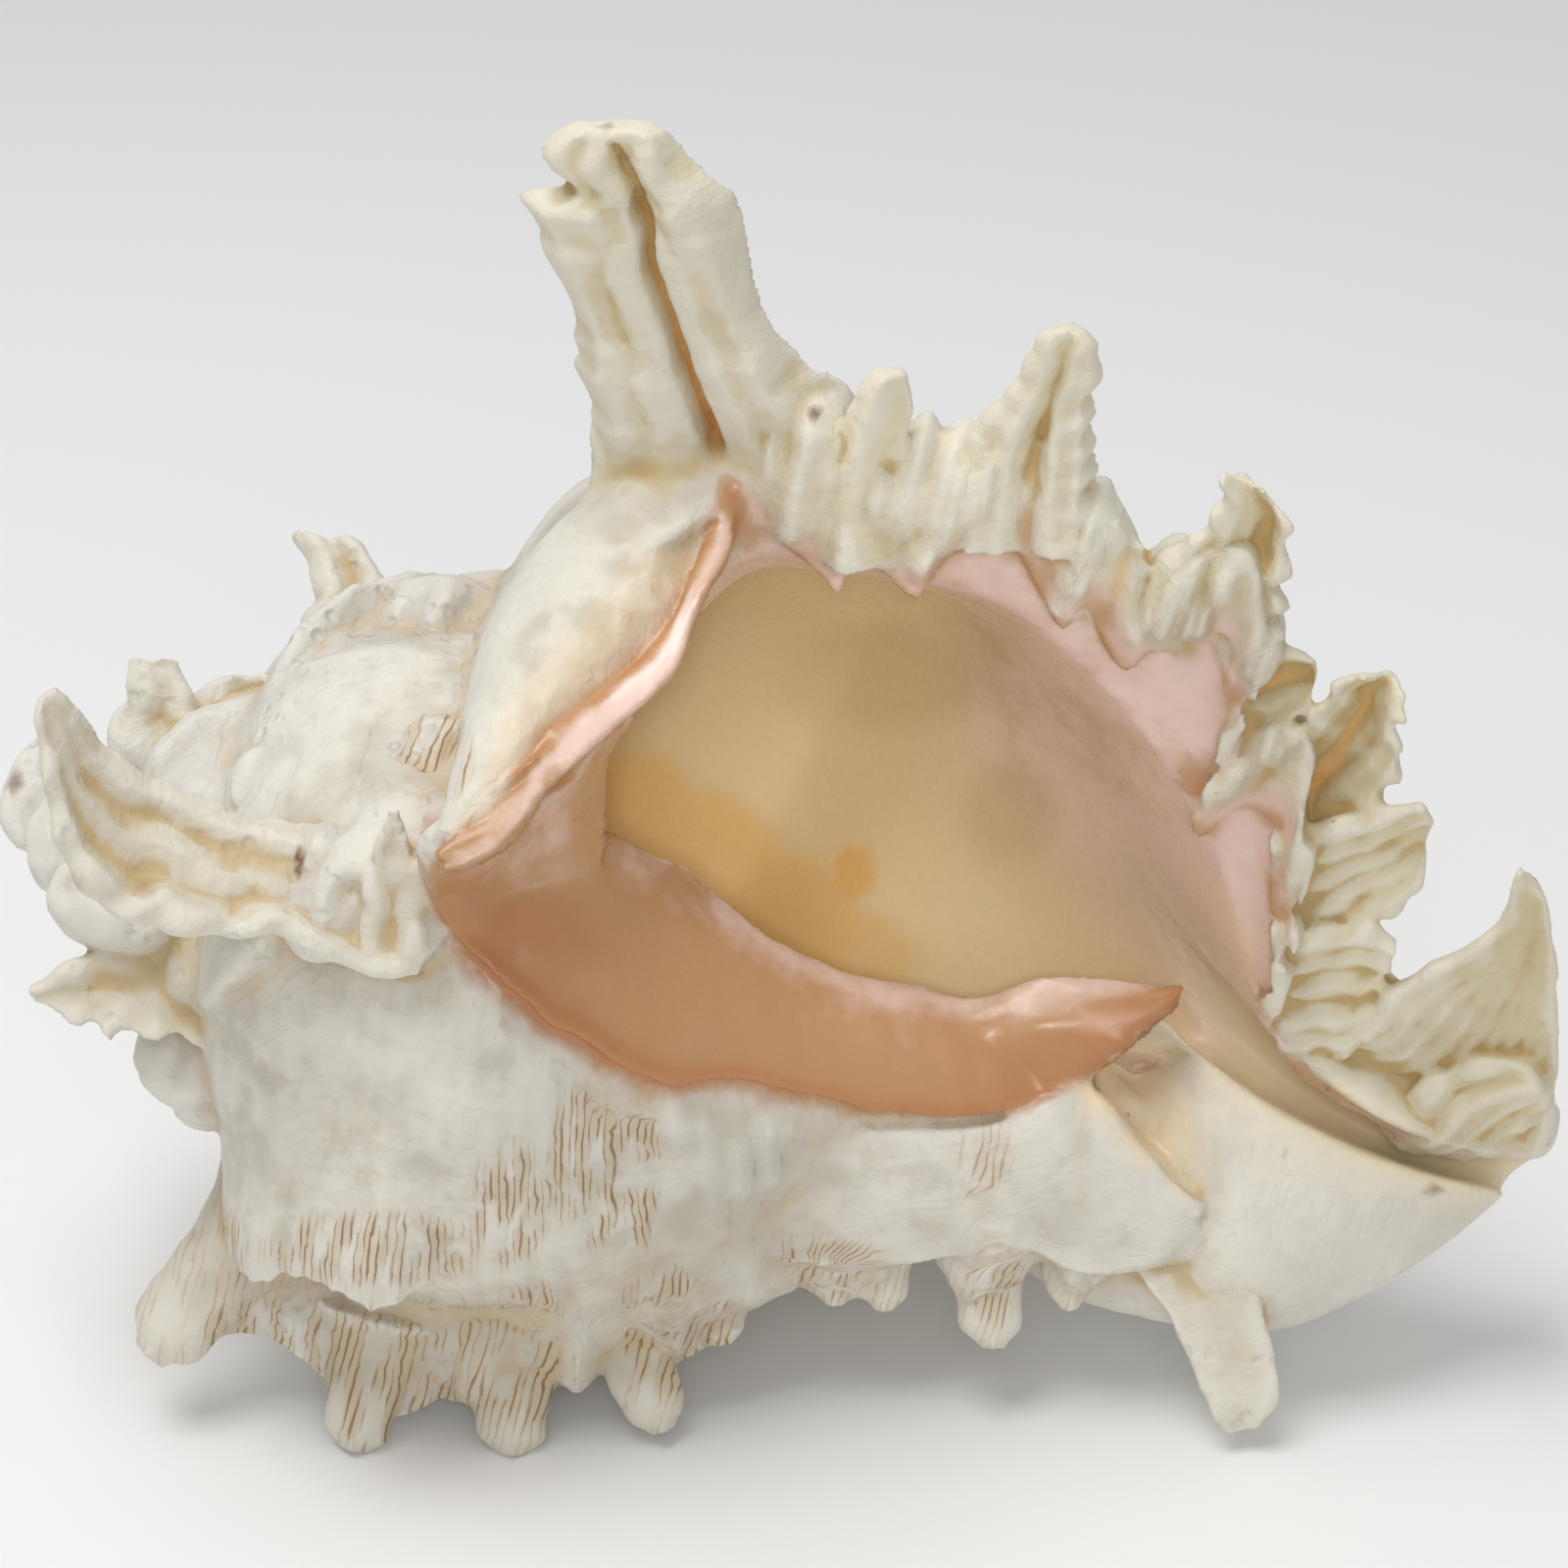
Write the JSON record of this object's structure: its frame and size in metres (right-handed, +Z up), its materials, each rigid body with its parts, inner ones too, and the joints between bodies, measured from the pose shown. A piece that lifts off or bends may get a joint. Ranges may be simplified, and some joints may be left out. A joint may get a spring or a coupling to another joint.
{
  "type": "murex shell",
  "caption": "Large ramose murex sea shell lying on worn spine tips, with a wide mouth, a frilled outer lip, a knobbly spire and an open canal.",
  "frame": {"origin": "middle of the bounding box, on the surface that the shell rests on", "axes": "+Z up, +X along the shell from the spire to the canal, the mouth towards -Y and up"},
  "size_m": [0.1828, 0.1184, 0.1593],
  "materials": {
    "shell": "chalky off-white outside with cream fronds and brown threads, glossy pink and orange round the mouth, tan inside"
  },
  "bodies": {
    "root": {"shell": "shell"}
  },
  "joints": []
}
